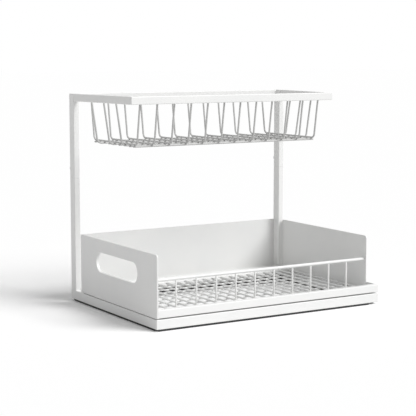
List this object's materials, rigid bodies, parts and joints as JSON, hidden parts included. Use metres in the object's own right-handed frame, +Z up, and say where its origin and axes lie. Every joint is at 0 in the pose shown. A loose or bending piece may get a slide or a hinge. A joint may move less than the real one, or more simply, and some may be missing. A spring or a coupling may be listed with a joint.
{
  "type": "pull-out cabinet basket",
  "caption": "Tiered cabinet organiser in white coated steel: wire basket on rear posts above a mesh-floored tray that rolls out of a base frame, pulled by a handle hole in its end panel.",
  "frame": {"origin": "bottom centre of the overall box, on the floor plane that the anti-slip strips stand on", "axes": "+X along the long side, away from the end that the tray is pulled out of (the tray travels towards -X); +Y from the open front with the fence rail to the rear posts; +Z up"},
  "size_m": [0.42, 0.2992, 0.347],
  "materials": {
    "white_coat": "satin powder coat",
    "zinc_steel": "bright zinc plating",
    "nylon": "matt moulded nylon",
    "cap_plastic": "satin moulding",
    "rubber": "matt rubber"
  },
  "bodies": {
    "frame": {"base_front_bar": "white_coat", "base_rear_bar": "white_coat", "base_left_bar": "white_coat", "base_right_bar": "white_coat", "anti_slip_strips": "rubber", "left_post_lower": "white_coat", "right_post_lower": "white_coat", "left_post_upper": "white_coat", "right_post_upper": "white_coat", "left_post_sleeve": "zinc_steel", "right_post_sleeve": "zinc_steel", "splice_screws": "zinc_steel", "post_caps": "cap_plastic", "rear_panel": "white_coat", "rear_panel_screws": "zinc_steel", "rim_front_bar": "white_coat", "rim_rear_bar": "white_coat", "rim_left_arm": "white_coat", "rim_right_arm": "white_coat", "basket_cross_wires": "white_coat", "basket_long_wires": "white_coat", "basket_floor_wires": "white_coat", "front_track": "white_coat", "rear_track": "white_coat", "track_rivets": "zinc_steel", "fixed_roller_axles": "zinc_steel", "closing_bumpers": "rubber", "opening_stops": "zinc_steel"},
    "tray": {"handle_panel": "white_coat", "end_panel": "white_coat", "tray_front_bar": "white_coat", "tray_rear_bar": "white_coat", "tray_left_bar": "white_coat", "tray_right_bar": "white_coat", "mesh_cross_wires": "white_coat", "mesh_long_wires": "white_coat", "fence_rail": "white_coat", "fence_uprights": "white_coat", "front_runner": "white_coat", "rear_runner": "white_coat", "tray_roller_axles": "zinc_steel"},
    "front_left_roller": {"front_left_roller": "nylon"},
    "rear_left_roller": {"rear_left_roller": "nylon"},
    "front_right_roller": {"front_right_roller": "nylon"},
    "rear_right_roller": {"rear_right_roller": "nylon"}
  },
  "joints": [
    {"name": "tray_slide", "type": "slide", "parent": "frame", "child": "tray", "axis": [-1, 0, 0], "range_m": [0, 0.25]},
    {"name": "front_left_roller_turn", "type": "hinge", "parent": "frame", "child": "front_left_roller", "pos_m": [-0.188, -0.1332, 0.0127], "axis": [0, -1, 0], "range_deg": [0, 2100]},
    {"name": "rear_left_roller_turn", "type": "hinge", "parent": "frame", "child": "rear_left_roller", "pos_m": [-0.188, 0.123, 0.0127], "axis": [0, -1, 0], "range_deg": [0, 2100]},
    {"name": "front_right_roller_turn", "type": "hinge", "parent": "tray", "child": "front_right_roller", "pos_m": [0.186, -0.1332, 0.0105], "axis": [0, -1, 0], "range_deg": [0, 2900]},
    {"name": "rear_right_roller_turn", "type": "hinge", "parent": "tray", "child": "rear_right_roller", "pos_m": [0.186, 0.123, 0.0105], "axis": [0, -1, 0], "range_deg": [0, 2900]}
  ],
  "couplings": [
    {"joint": "front_left_roller_turn", "follows": "tray_slide", "rad_per_m": 142.86},
    {"joint": "rear_left_roller_turn", "follows": "tray_slide", "rad_per_m": 142.86},
    {"joint": "front_right_roller_turn", "follows": "tray_slide", "rad_per_m": 200},
    {"joint": "rear_right_roller_turn", "follows": "tray_slide", "rad_per_m": 200}
  ]
}
